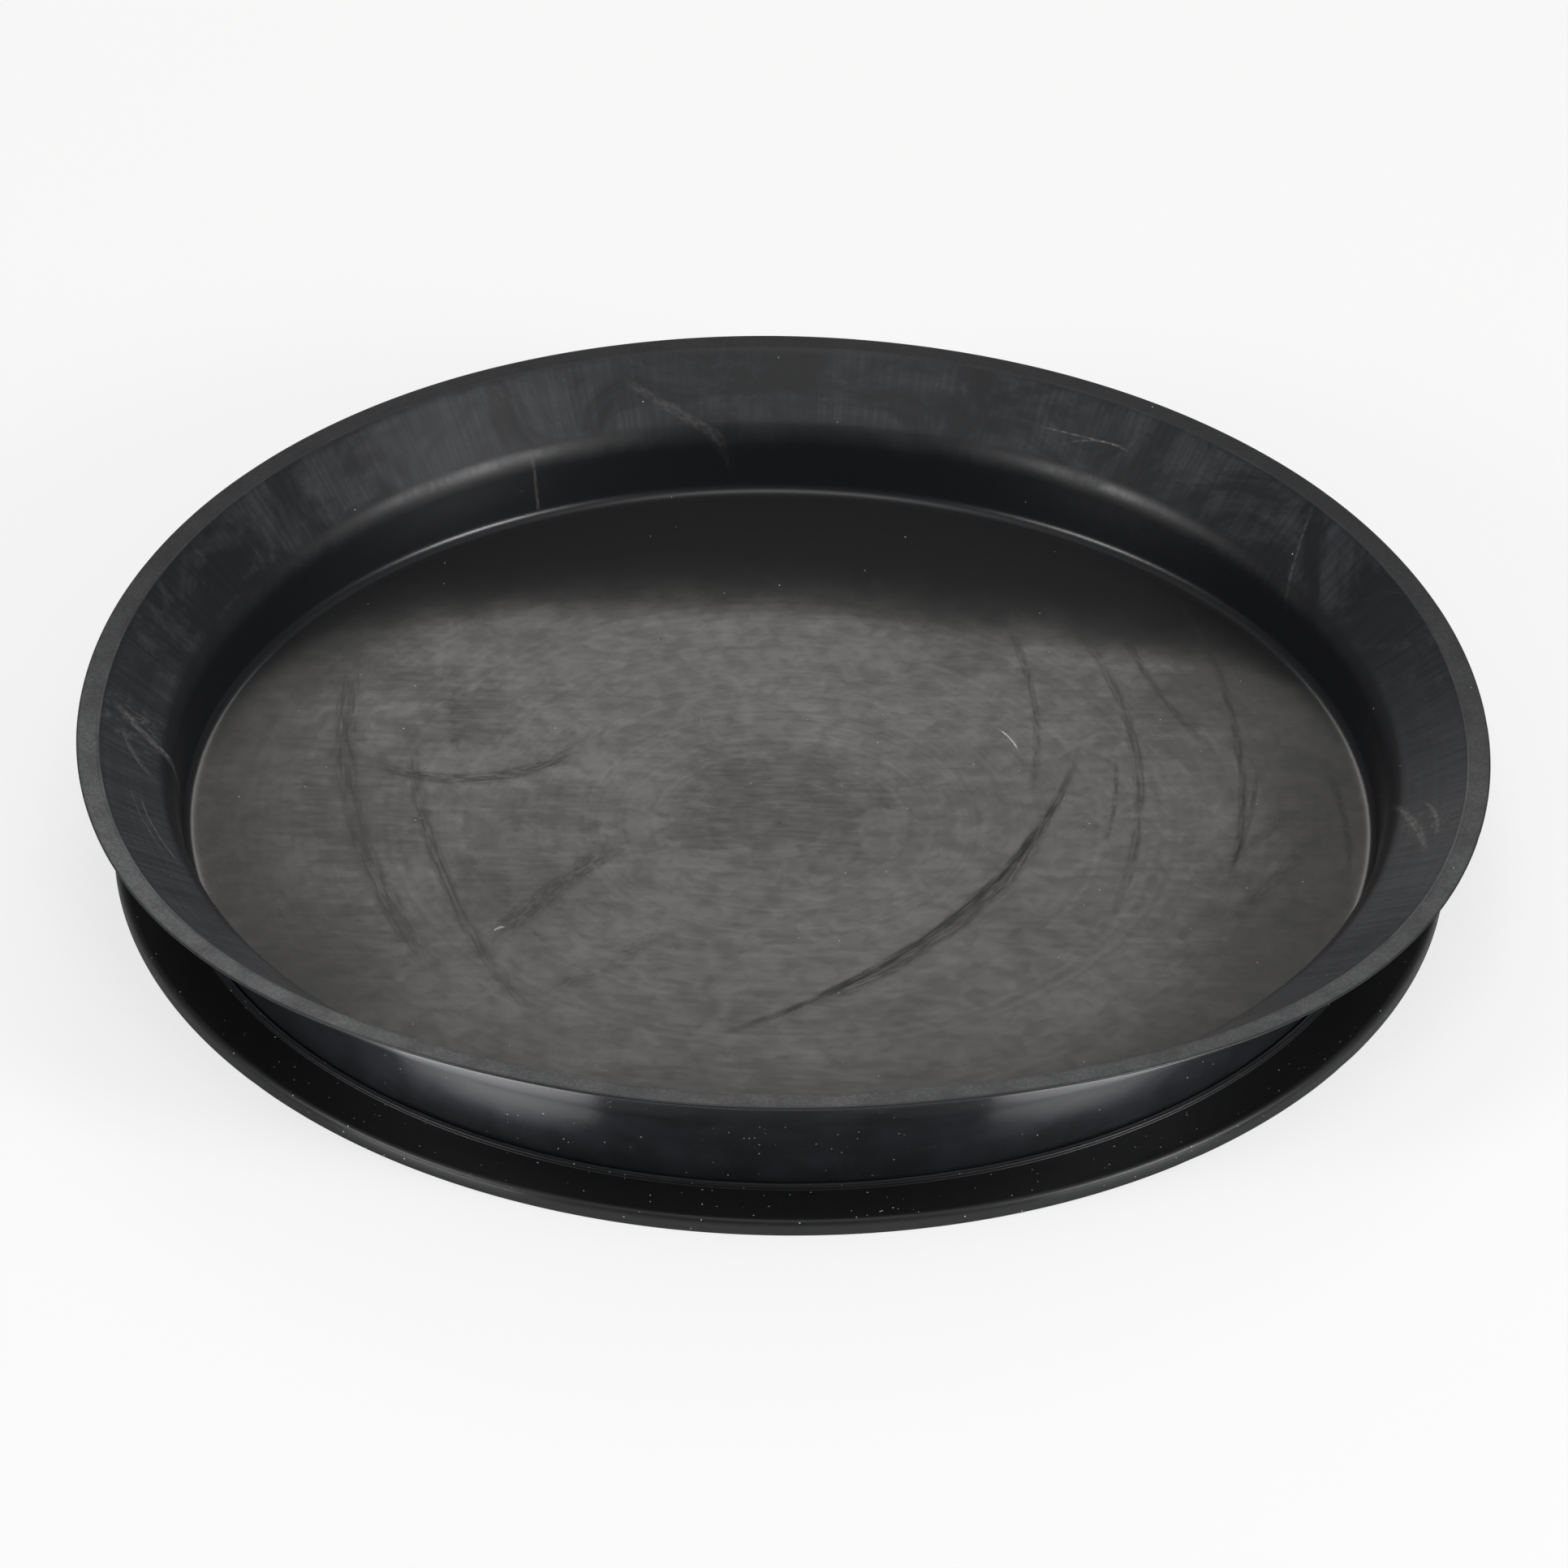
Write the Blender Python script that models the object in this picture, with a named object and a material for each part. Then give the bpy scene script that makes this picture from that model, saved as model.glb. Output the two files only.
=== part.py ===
"""Round rubber oil drain pan that stands in a low locating ring on a flat base disc.

Both pieces are turned shapes about +Z. The origin is the centre of the base disc's underside.
The pan's lip is soft, and has taken a wavy set: it sags at the two sides, stands up at the front,
and dips a little in the middle of the front.
+X is the object's right, and -Y its front.
"""
import math

import bmesh
import bpy
from mathutils import Vector

# Base disc, which stands out past its locating ring as a flange
FLANGE_WIDTH = 0.0188
BASE_THICKNESS = 0.0063
BASE_TOP_EDGE = 0.0015
BASE_BOTTOM_EDGE = 0.0008

# Locating ring that stands on the base disc, round the pan's foot
RING_WIDTH = 0.0025
RING_HEIGHT = 0.0014
RING_EDGE = 0.0006
RING_FOOT_FILLET = 0.0005

# Pan: floor and wall
FLOOR_RADIUS = 0.2100
FLOOR_THICKNESS = 0.0060
FLOOR_FILLET = 0.0040
WALL_THICKNESS = 0.0040
WALL_LEAN = math.radians(12.5)
WALL_HEIGHT = 0.0217
FOOT_EDGE = 0.0008

# Pan: flared lip, measured from the bend between the wall and the lip
BEND_RADIUS = 0.0140
LIP_RUN = 0.0229
LIP_RISE = 0.0201
LIP_FACE_WIDTH = 0.0090
LIP_INNER_EDGE = 0.0006
LIP_OUTER_EDGE = 0.0005

# The lip's set, as changes to its slope round the pan
SIDE_SAG = math.radians(10.5)
FRONT_LIFT = math.radians(4.7)
RIGHT_SAG = math.radians(2.9)
FRONT_DIP = math.radians(5.5)
FRONT_DIP_AT = math.radians(-94.0)
FRONT_DIP_SPREAD = math.radians(22.0)
SET_EASE = 0.35

# Fits
SEAT_GAP = 0.0003
RING_CLEARANCE = 0.0003

# Facets
SEGMENTS = 96
ARC_CHORD = 0.0020
MIN_ARC_STEPS = 3
MERGE_DISTANCE = 0.00001
SHARP_ANGLE = math.radians(40.0)

# Finishes
PAN_RUBBER_COLOUR = (0.020, 0.021, 0.023, 1.0)
PAN_RUBBER_ROUGHNESS = 0.45
BASE_RUBBER_COLOUR = (0.014, 0.014, 0.015, 1.0)
BASE_RUBBER_ROUGHNESS = 0.55

# Heights that follow from the sizes above
PAN_UNDERSIDE = BASE_THICKNESS + SEAT_GAP
FLOOR_TOP = PAN_UNDERSIDE + FLOOR_THICKNESS
BEND_HEIGHT = FLOOR_TOP + WALL_HEIGHT
LIP_HEIGHT = BEND_HEIGHT + LIP_RISE


def clear_scene():
    """Remove every object that the file starts with."""
    for thing in list(bpy.data.objects):
        bpy.data.objects.remove(thing, do_unlink=True)


def rubber(name, colour, roughness):
    """Return a plain rubber material."""
    material = bpy.data.materials.new(name)
    material.use_nodes = True
    shader = material.node_tree.nodes["Principled BSDF"]
    shader.inputs["Base Color"].default_value = colour
    shader.inputs["Roughness"].default_value = roughness
    shader.inputs["Metallic"].default_value = 0.0
    material.diffuse_color = colour
    return material


def rounded_outline(corners):
    """Return the outline through (radius, height, rounding) corners, each rounded off with an arc."""
    points = []
    for index, (r, z, rounding) in enumerate(corners):
        corner = Vector((r, z))
        if rounding == 0.0:
            points.append(corner)
            continue
        before = Vector(corners[index - 1][:2]) - corner
        after = Vector(corners[index + 1][:2]) - corner
        before.normalize()
        after.normalize()
        half_angle = before.angle(after) / 2
        centre = corner + (before + after).normalized() * (rounding / math.sin(half_angle))
        reach = rounding / math.tan(half_angle)
        start = corner + before * reach - centre
        turn = start.angle_signed(corner + after * reach - centre)
        steps = max(MIN_ARC_STEPS, math.ceil(abs(turn) * rounding / ARC_CHORD))
        for step in range(steps + 1):
            # angle_signed is positive clockwise, and the rotation below is positive anticlockwise
            angle = -turn * step / steps
            across = start.x * math.cos(angle) - start.y * math.sin(angle)
            along = start.x * math.sin(angle) + start.y * math.cos(angle)
            points.append(centre + Vector((across, along)))
    return points


def wall_radius_at(height):
    """Return the radius of the pan's outer wall at a height above the ground."""
    at_floor = FLOOR_RADIUS + WALL_THICKNESS / math.cos(WALL_LEAN)
    return at_floor + (height - FLOOR_TOP) * math.tan(WALL_LEAN)


def pan_outline():
    """Return the pan's outline, from the middle of its floor round to the middle of its underside."""
    bend = Vector((FLOOR_RADIUS + WALL_HEIGHT * math.tan(WALL_LEAN), BEND_HEIGHT))
    lip_inner = bend + Vector((LIP_RUN, LIP_RISE))
    lip_outer = lip_inner + Vector((LIP_FACE_WIDTH, 0.0))
    lip_slope = math.atan2(LIP_RISE, LIP_RUN)

    # The outer bend lies one wall thickness outside both the wall and the lip
    wall_out = Vector((math.cos(WALL_LEAN), -math.sin(WALL_LEAN)))
    lip_out = Vector((math.sin(lip_slope), -math.cos(lip_slope)))
    mitre = (wall_out + lip_out) / (1.0 + wall_out.dot(lip_out))
    outer_bend = bend + mitre * WALL_THICKNESS

    return rounded_outline([
        (0.0, FLOOR_TOP, 0.0),
        (FLOOR_RADIUS, FLOOR_TOP, FLOOR_FILLET),
        (bend.x, bend.y, BEND_RADIUS),
        (lip_inner.x, lip_inner.y, LIP_INNER_EDGE),
        (lip_outer.x, lip_outer.y, LIP_OUTER_EDGE),
        (outer_bend.x, outer_bend.y, BEND_RADIUS - WALL_THICKNESS),
        (wall_radius_at(PAN_UNDERSIDE), PAN_UNDERSIDE, FOOT_EDGE),
        (0.0, PAN_UNDERSIDE, 0.0),
    ])


def base_outline():
    """Return the base disc's outline, from the middle of its top round to the middle of its underside."""
    ring_top = BASE_THICKNESS + RING_HEIGHT
    ring_inner = wall_radius_at(ring_top) + RING_CLEARANCE
    ring_outer = ring_inner + RING_WIDTH
    base_radius = ring_outer + FLANGE_WIDTH
    return rounded_outline([
        (0.0, BASE_THICKNESS, 0.0),
        (ring_inner, BASE_THICKNESS, 0.0),
        (ring_inner, ring_top, RING_EDGE),
        (ring_outer, ring_top, RING_EDGE),
        (ring_outer, BASE_THICKNESS, RING_FOOT_FILLET),
        (base_radius, BASE_THICKNESS, BASE_TOP_EDGE),
        (base_radius, 0.0, BASE_BOTTOM_EDGE),
        (0.0, 0.0, 0.0),
    ])


def turned_mesh(outline):
    """Return a bmesh of an outline of (radius, height) points, turned once about +Z."""
    shape = bmesh.new()
    rim = [shape.verts.new((point.x, 0.0, point.y)) for point in outline]
    edges = [shape.edges.new(pair) for pair in zip(rim, rim[1:])]
    bmesh.ops.spin(
        shape, geom=rim + edges, cent=(0.0, 0.0, 0.0), axis=(0.0, 0.0, 1.0),
        angle=math.tau, steps=SEGMENTS, use_merge=True,
    )
    bmesh.ops.remove_doubles(shape, verts=shape.verts, dist=MERGE_DISTANCE)
    bmesh.ops.recalc_face_normals(shape, faces=shape.faces)
    return shape


def lip_share(height):
    """Return how far up the lip a height is: 0 up to the bend, easing in to 1 at the lip's top face."""
    bend_start = BEND_HEIGHT - BEND_RADIUS / 2
    share = (height - bend_start) / (LIP_HEIGHT - bend_start)
    share = min(max(share, 0.0), 1.0)
    if share < SET_EASE:
        eased = share * share / (2 * SET_EASE)
    else:
        eased = share - SET_EASE / 2
    return eased / (1 - SET_EASE / 2)


def set_lip(shape):
    """Give the pan's lip its wavy set: each stretch of it hinges a few degrees about the bend."""
    run = LIP_RUN + LIP_FACE_WIDTH
    length = math.hypot(run, LIP_RISE)
    slope = math.atan2(LIP_RISE, run)
    for vertex in shape.verts:
        share = lip_share(vertex.co.z)
        if share == 0.0:
            continue
        around = math.atan2(vertex.co.y, vertex.co.x)
        from_dip = (around - FRONT_DIP_AT) / FRONT_DIP_SPREAD
        set_slope = (
            slope
            - SIDE_SAG * math.cos(2 * around)
            + FRONT_LIFT * math.sin(3 * around)
            - RIGHT_SAG * math.cos(around)
            - FRONT_DIP * math.exp(-from_dip * from_dip)
        )
        outward = share * length * (math.cos(set_slope) - math.cos(slope))
        upward = share * length * (math.sin(set_slope) - math.sin(slope))
        vertex.co.x += outward * math.cos(around)
        vertex.co.y += outward * math.sin(around)
        vertex.co.z += upward


def add_part(name, shape, material):
    """Turn a bmesh into a named, smooth-shaded object."""
    mesh = bpy.data.meshes.new(name)
    shape.to_mesh(mesh)
    shape.free()
    mesh.materials.append(material)
    mesh.shade_smooth()
    mesh.set_sharp_from_angle(angle=SHARP_ANGLE)
    part = bpy.data.objects.new(name, mesh)
    bpy.context.scene.collection.objects.link(part)
    return part


def make_base_disc():
    """Make the flat base disc with its locating ring."""
    material = rubber("base_rubber", BASE_RUBBER_COLOUR, BASE_RUBBER_ROUGHNESS)
    add_part("base_disc", turned_mesh(base_outline()), material)


def make_pan():
    """Make the pan, with its lip in its set shape."""
    material = rubber("pan_rubber", PAN_RUBBER_COLOUR, PAN_RUBBER_ROUGHNESS)
    shape = turned_mesh(pan_outline())
    set_lip(shape)
    add_part("pan", shape, material)


clear_scene()
make_base_disc()
make_pan()
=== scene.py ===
"""Looks of a round rubber oil drain pan that stands on a flanged base disc.

Both pieces are turned from an outline about +Z by one Geometry Nodes tree, which also gives the
pan's lip its soft wavy set, raises the thin mould flash and nicks the outer edges. Two rubber
finishes carry the rubbed film on the floor, its smears, the scuffs on the lip and the dust, with
painted shade on the floor's back and sides and a painted sheen on the base's outer edge.
+X is the object's right and -Y its front, as in the frame.
"""
import logging
import math
from dataclasses import dataclass, field
from enum import Enum
from typing import Any, Callable, Iterable, Union

import bmesh
import bpy
from mathutils import Matrix, Vector


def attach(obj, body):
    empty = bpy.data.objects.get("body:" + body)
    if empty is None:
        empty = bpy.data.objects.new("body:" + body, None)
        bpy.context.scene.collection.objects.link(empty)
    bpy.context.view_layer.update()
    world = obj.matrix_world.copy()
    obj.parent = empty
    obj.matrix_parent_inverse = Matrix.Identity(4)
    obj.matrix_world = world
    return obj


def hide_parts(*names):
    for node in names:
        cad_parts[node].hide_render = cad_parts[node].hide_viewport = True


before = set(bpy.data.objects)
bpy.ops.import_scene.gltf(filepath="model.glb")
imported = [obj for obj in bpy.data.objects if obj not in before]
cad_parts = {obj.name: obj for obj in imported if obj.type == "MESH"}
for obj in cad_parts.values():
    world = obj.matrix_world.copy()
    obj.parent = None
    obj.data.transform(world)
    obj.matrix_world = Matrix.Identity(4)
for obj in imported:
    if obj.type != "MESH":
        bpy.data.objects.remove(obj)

logging.basicConfig(level=logging.INFO, format="%(name)s: %(message)s")
log = logging.getLogger("drain_pan")

Feed = Union[bpy.types.NodeSocket, float, int, str, tuple, Vector, bpy.types.Material]
Colour = tuple[float, float, float]

MM = 0.001


class Graph:
    """Short calls that add nodes to one tree and join them."""

    def __init__(self, tree: bpy.types.NodeTree) -> None:
        """Take over a tree and empty it.

        Args:
            tree: The shader, geometry or group tree to build in.
        """
        self.tree = tree
        tree.nodes.clear()

    def feed(self, socket: bpy.types.NodeSocket, value: Feed) -> None:
        """Link a socket into another one, or set its value."""
        if isinstance(value, bpy.types.NodeSocket):
            self.tree.links.new(value, socket)
        else:
            socket.default_value = value

    def add(self, kind: str, feeds: dict[Any, Feed] | None = None, **settings: Any) -> bpy.types.Node:
        """Add a node.

        Args:
            kind: The node's type.
            feeds: What goes into its sockets, by name or number.
            **settings: The node's own properties.

        Returns:
            The new node.
        """
        node = self.tree.nodes.new(kind)
        for name, value in settings.items():
            setattr(node, name, value)
        for key, value in (feeds or {}).items():
            self.feed(node.inputs[key], value)
        return node

    def math(self, operation: str, *values: Feed) -> bpy.types.NodeSocket:
        """Return the result of one sum on one, two or three values."""
        return self.add("ShaderNodeMath", dict(enumerate(values)), operation=operation).outputs[0]

    def chain(self, operation: str, *values: Feed) -> bpy.types.NodeSocket:
        """Return one operation applied along a row of values.

        Args:
            operation: The sum to use, such as ADD or MULTIPLY.
            *values: Two or more values.

        Returns:
            The socket that holds the result.
        """
        result = values[0]
        for value in values[1:]:
            result = self.math(operation, result, value)
        return result

    def vector_math(self, operation: str, *values: Feed) -> bpy.types.NodeSocket:
        """Return a vector sum, as a number where the operation gives one."""
        node = self.add("ShaderNodeVectorMath", dict(enumerate(values)), operation=operation)
        gives_number = operation in ("LENGTH", "DOT_PRODUCT", "DISTANCE")
        return node.outputs["Value" if gives_number else "Vector"]

    def ramp(self, value: Feed, low: Feed, high: Feed) -> bpy.types.NodeSocket:
        """Return a smooth rise from 0 at low to 1 at high; low may be the larger, for a fall."""
        feeds = {"Value": value, "From Min": low, "From Max": high}
        return self.add("ShaderNodeMapRange", feeds, interpolation_type="SMOOTHSTEP").outputs[0]

    def scaled(self, value: Feed, low: float, high: float) -> bpy.types.NodeSocket:
        """Return 0 to 1 stretched to low to high."""
        return self.math("MULTIPLY_ADD", value, high - low, low)

    def band(self, value: Feed, start: float, end: float, soft: float) -> bpy.types.NodeSocket:
        """Return 1 between start and end and 0 outside.

        Args:
            value: What is compared.
            start: Where the band begins.
            end: Where it ends.
            soft: How far each end fades.

        Returns:
            The socket that holds the mask.
        """
        rise = self.ramp(value, start - soft / 2, start + soft / 2)
        fall = self.ramp(value, end + soft / 2, end - soft / 2)
        return self.math("MULTIPLY", rise, fall)

    def split(self, vector: Feed) -> tuple[bpy.types.NodeSocket, ...]:
        """Return a vector's three parts."""
        return tuple(self.add("ShaderNodeSeparateXYZ", {0: vector}).outputs)

    def join(self, x: Feed = 0.0, y: Feed = 0.0, z: Feed = 0.0) -> bpy.types.NodeSocket:
        """Return a vector of three parts."""
        return self.add("ShaderNodeCombineXYZ", {0: x, 1: y, 2: z}).outputs[0]

    def noise(
        self, place: Feed, scale: float, detail: float = 2.0, rough: float = 0.5, twist: float = 0.0
    ) -> bpy.types.NodeSocket:
        """Return soft noise.

        Args:
            place: Where it is read, in metres.
            scale: Features to a metre.
            detail: How many finer layers it has.
            rough: How strong the finer layers are.
            twist: How far it is distorted.

        Returns:
            The socket that holds 0 to 1.
        """
        feeds = {"Vector": place, "Scale": scale, "Detail": detail, "Roughness": rough, "Distortion": twist}
        return self.add("ShaderNodeTexNoise", feeds).outputs[0]

    def blend(self, share: Feed, first: Feed, second: Feed) -> bpy.types.NodeSocket:
        """Return a colour between two."""
        node = self.add("ShaderNodeMix", {0: share, 6: first, 7: second}, data_type="RGBA")
        return node.outputs[2]

    def between(self, share: Feed, first: Feed, second: Feed) -> bpy.types.NodeSocket:
        """Return a number between two."""
        return self.add("ShaderNodeMix", {0: share, 2: first, 3: second}).outputs[0]


@dataclass(frozen=True)
class Corner:
    """A corner of a turned outline.

    The arc's rounding and the spacing of the points on the run that follows are in metres.
    """

    name: str
    radius: float
    height: float
    rounding: float = 0.0
    spacing: float = 0.003


class Outline:
    """The points of a turned outline, and how far along it each named corner lies."""

    ARC_SPACING = 0.5 * MM
    MIN_ARC_STEPS = 5

    def __init__(self, corners: list[Corner]) -> None:
        """Round the corners off and space points along the runs.

        Args:
            corners: The corners in order, from the axis back to the axis.
        """
        self.points: list[Vector] = []
        self.along: list[float] = []
        self.starts: dict[str, float] = {}
        self.ends: dict[str, float] = {}
        arcs = [self._arc(corners, index) for index in range(len(corners))]
        for index, corner in enumerate(corners):
            for place, point in enumerate(arcs[index]):
                self._append(point)
                if place == 0:
                    self.starts[corner.name] = self.along[-1]
            self.ends[corner.name] = self.along[-1]
            if index + 1 < len(corners):
                self._run(arcs[index][-1], arcs[index + 1][0], corner.spacing)

    def _append(self, point: Vector) -> None:
        """Add a point and its distance along the outline."""
        step = (point - self.points[-1]).length if self.points else 0.0
        self.along.append((self.along[-1] if self.along else 0.0) + step)
        self.points.append(point)

    def _run(self, start: Vector, end: Vector, spacing: float) -> None:
        """Add the points between two corners, without its ends."""
        steps = max(1, math.ceil((end - start).length / spacing))
        for step in range(1, steps):
            self._append(start.lerp(end, step / steps))

    def _arc(self, corners: list[Corner], index: int) -> list[Vector]:
        """Return a corner's points: one if it is sharp, or an arc."""
        corner = corners[index]
        tip = Vector((corner.radius, corner.height))
        if corner.rounding == 0.0:
            return [tip]
        before = (Vector((corners[index - 1].radius, corners[index - 1].height)) - tip).normalized()
        after = (Vector((corners[index + 1].radius, corners[index + 1].height)) - tip).normalized()
        half_angle = before.angle(after) / 2
        centre = tip + (before + after).normalized() * (corner.rounding / math.sin(half_angle))
        reach = corner.rounding / math.tan(half_angle)
        first = tip + before * reach - centre
        turn = -first.angle_signed(tip + after * reach - centre)
        steps = max(self.MIN_ARC_STEPS, math.ceil(abs(turn) * corner.rounding / self.ARC_SPACING))
        return [centre + Matrix.Rotation(turn * step / steps, 2) @ first for step in range(steps + 1)]


@dataclass
class TurnSettings:
    """What the turning tree takes, by the names of its inputs; lengths in metres, angles in radians."""

    segments: int = 384
    lip_length: float = 0.0
    lip_slope: float = 0.0
    bend_start: float = 0.0
    lip_top: float = 1.0
    set_ease: float = 0.35
    side_sag: float = 0.0
    front_lift: float = 0.0
    right_sag: float = 0.0
    front_dip: float = 0.0
    dip_at: float = 0.0
    dip_spread: float = 1.0
    flash_at: float = 0.0
    flash_width: float = 0.35 * MM
    flash_height: float = 0.0
    free_above: float = 1.0
    unevenness: float = 0.0
    nick_from: float = 1.0
    nick_depth: float = 0.0
    seed: float = 0.0


class TurnTree:
    """The Geometry Nodes tree that turns an outline about +Z and shapes what comes of it."""

    NAME = "turned_moulding"
    MERGE_DISTANCE = 0.00001

    def __init__(self) -> None:
        """Build the tree with one named input for each setting."""
        self.tree = bpy.data.node_groups.new(self.NAME, "GeometryNodeTree")
        self.sockets: dict[str, str] = {}
        interface = self.tree.interface
        interface.new_socket("Outline", in_out="INPUT", socket_type="NodeSocketGeometry")
        for name, value in vars(TurnSettings()).items():
            kind = "NodeSocketInt" if isinstance(value, int) else "NodeSocketFloat"
            socket = interface.new_socket(name, in_out="INPUT", socket_type=kind)
            self.sockets[name] = socket.identifier
        socket = interface.new_socket("finish", in_out="INPUT", socket_type="NodeSocketMaterial")
        self.sockets["finish"] = socket.identifier
        interface.new_socket("Moulding", in_out="OUTPUT", socket_type="NodeSocketGeometry")
        self.graph = Graph(self.tree)
        self.inputs = self.graph.add("NodeGroupInput").outputs
        self._build()

    def _build(self) -> None:
        """Lay out the grid of angle and outline, place it and finish it."""
        g, given = self.graph, self.inputs
        count = g.add(
            "GeometryNodeAttributeDomainSize", {"Geometry": given["Outline"]}, component="MESH"
        ).outputs["Point Count"]
        columns = g.math("ADD", given["segments"], 1)
        grid = g.add(
            "GeometryNodeMeshGrid",
            {"Size X": 1.0, "Size Y": 1.0, "Vertices X": columns, "Vertices Y": count},
        )
        x, y, _ = g.split(g.add("GeometryNodeInputPosition").outputs[0])
        angle = g.math("MULTIPLY", g.math("ADD", x, 0.5), math.tau)
        index = g.math("ROUND", g.math("MULTIPLY", g.math("ADD", y, 0.5), g.math("SUBTRACT", count, 1)))
        place = g.add("GeometryNodeInputPosition").outputs[0]
        radius, _, height = g.split(self._sample(place, index, "FLOAT_VECTOR"))
        along_field = g.add(
            "GeometryNodeInputNamedAttribute", {"Name": "along"}, data_type="FLOAT"
        ).outputs[0]
        along = self._sample(along_field, index, "FLOAT")

        outward, upward = self._lip_set(angle, height)
        flash = self._flash(angle, along)
        inward, downward = self._unevenness(angle, radius, height)
        radius = g.chain("ADD", radius, outward, g.math("MULTIPLY", inward, -1.0))
        height = g.chain("ADD", height, upward, flash, g.math("MULTIPLY", downward, -1.0))
        turned = g.join(
            g.math("MULTIPLY", radius, g.math("COSINE", angle)),
            g.math("MULTIPLY", radius, g.math("SINE", angle)),
            height,
        )

        shape = g.add(
            "GeometryNodeStoreNamedAttribute",
            {"Geometry": grid.outputs["Mesh"], "Name": "along", "Value": along},
            data_type="FLOAT", domain="POINT",
        ).outputs[0]
        shape = g.add("GeometryNodeSetPosition", {"Geometry": shape, "Position": turned}).outputs[0]
        shape = g.add(
            "GeometryNodeMergeByDistance", {"Geometry": shape, "Distance": self.MERGE_DISTANCE}
        ).outputs[0]
        shape = g.add("GeometryNodeRealizeInstances", {"Geometry": shape}).outputs[0]
        shape = g.add(
            "GeometryNodeSetMaterial", {"Geometry": shape, "Material": given["finish"]}
        ).outputs[0]
        g.add("NodeGroupOutput", {"Moulding": shape})

    def _sample(self, value: Feed, index: Feed, kind: str) -> bpy.types.NodeSocket:
        """Return an outline point's value, by its index."""
        return self.graph.add(
            "GeometryNodeSampleIndex",
            {"Geometry": self.inputs["Outline"], "Value": value, "Index": index},
            data_type=kind, domain="POINT",
        ).outputs[0]

    def _lip_set(self, angle: Feed, height: Feed) -> tuple[bpy.types.NodeSocket, bpy.types.NodeSocket]:
        """Hinge each stretch of the lip a few degrees about the bend.

        Args:
            angle: The angle round the axis.
            height: The outline's own height.

        Returns:
            How far a point moves outward and upward.
        """
        g, given = self.graph, self.inputs
        rise = g.math("SUBTRACT", height, given["bend_start"])
        share = g.math("DIVIDE", rise, g.math("SUBTRACT", given["lip_top"], given["bend_start"]))
        share = g.math("MINIMUM", g.math("MAXIMUM", share, 0.0), 1.0)
        ease = given["set_ease"]
        start = g.math("MINIMUM", share, ease)
        curved = g.math("DIVIDE", g.math("MULTIPLY", start, start), g.math("MULTIPLY", ease, 2.0))
        straight = g.math("MAXIMUM", g.math("SUBTRACT", share, ease), 0.0)
        whole = g.math("SUBTRACT", 1.0, g.math("DIVIDE", ease, 2.0))
        share = g.math("DIVIDE", g.math("ADD", curved, straight), whole)

        sides = g.math("MULTIPLY", given["side_sag"], g.math("COSINE", g.math("MULTIPLY", angle, 2.0)))
        front = g.math("MULTIPLY", given["front_lift"], g.math("SINE", g.math("MULTIPLY", angle, 3.0)))
        right = g.math("MULTIPLY", given["right_sag"], g.math("COSINE", angle))
        from_dip = g.math("DIVIDE", g.math("SUBTRACT", angle, given["dip_at"]), given["dip_spread"])
        dip = g.math("EXPONENT", g.chain("MULTIPLY", from_dip, from_dip, -1.0))
        dip = g.math("MULTIPLY", dip, given["front_dip"])
        slope = given["lip_slope"]
        set_slope = g.chain("SUBTRACT", g.math("ADD", slope, front), sides, right, dip)
        reach = g.math("MULTIPLY", share, given["lip_length"])
        moves = []
        for part in ("COSINE", "SINE"):
            change = g.math("SUBTRACT", g.math(part, set_slope), g.math(part, slope))
            moves.append(g.math("MULTIPLY", reach, change))
        return moves[0], moves[1]

    def _flash(self, angle: Feed, along: Feed) -> bpy.types.NodeSocket:
        """Return the height of the ragged bead of flash that runs round one place of the outline."""
        g, given = self.graph, self.inputs
        away = g.math("DIVIDE", g.math("SUBTRACT", along, given["flash_at"]), given["flash_width"])
        bead = g.math("EXPONENT", g.math("MULTIPLY", g.math("MULTIPLY", away, away), -1.0))
        ring = self._ring(angle, 0.24)
        ragged = g.ramp(g.noise(ring, 55.0, 4.0, 0.7), 0.36, 0.62)
        return g.chain("MULTIPLY", bead, g.scaled(ragged, 0.25, 1.0), given["flash_height"])

    def _ring(self, angle: Feed, radius: float) -> bpy.types.NodeSocket:
        """Return a point on a level circle, for noise that closes on itself."""
        g = self.graph
        around = [g.math("MULTIPLY", g.math(part, angle), radius) for part in ("COSINE", "SINE")]
        return g.join(around[0], around[1], self.inputs["seed"])

    def _unevenness(
        self, angle: Feed, radius: Feed, height: Feed
    ) -> tuple[bpy.types.NodeSocket, bpy.types.NodeSocket]:
        """Pull the surface in and down a little, unevenly, and nick the outer edge.

        Args:
            angle: The angle round the axis.
            radius: The outline's own radius.
            height: The outline's own height.

        Returns:
            How far a point moves inward and downward, never less than nothing.
        """
        g, given = self.graph, self.inputs
        free = g.ramp(height, given["free_above"], g.math("ADD", given["free_above"], 4 * MM))
        place = g.join(
            g.math("MULTIPLY", radius, g.math("COSINE", angle)),
            g.math("MULTIPLY", radius, g.math("SINE", angle)),
            g.math("ADD", height, given["seed"]),
        )
        dip = g.chain("MULTIPLY", g.scaled(g.noise(place, 14.0, 1.0), 0.6, 1.3), free, given["unevenness"])
        bow = g.chain("MULTIPLY", g.noise(place, 9.0, 1.0, 0.5, 0.3), free, given["unevenness"])
        edge = g.ramp(radius, given["nick_from"], g.math("ADD", given["nick_from"], 1.5 * MM))
        ring = self._ring(angle, 0.24)
        worn = g.ramp(g.noise(ring, 38.0, 5.0, 0.75), 0.56, 0.74)
        nick = g.chain("MULTIPLY", edge, worn, given["nick_depth"])
        return g.math("ADD", bow, nick), dip

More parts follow.
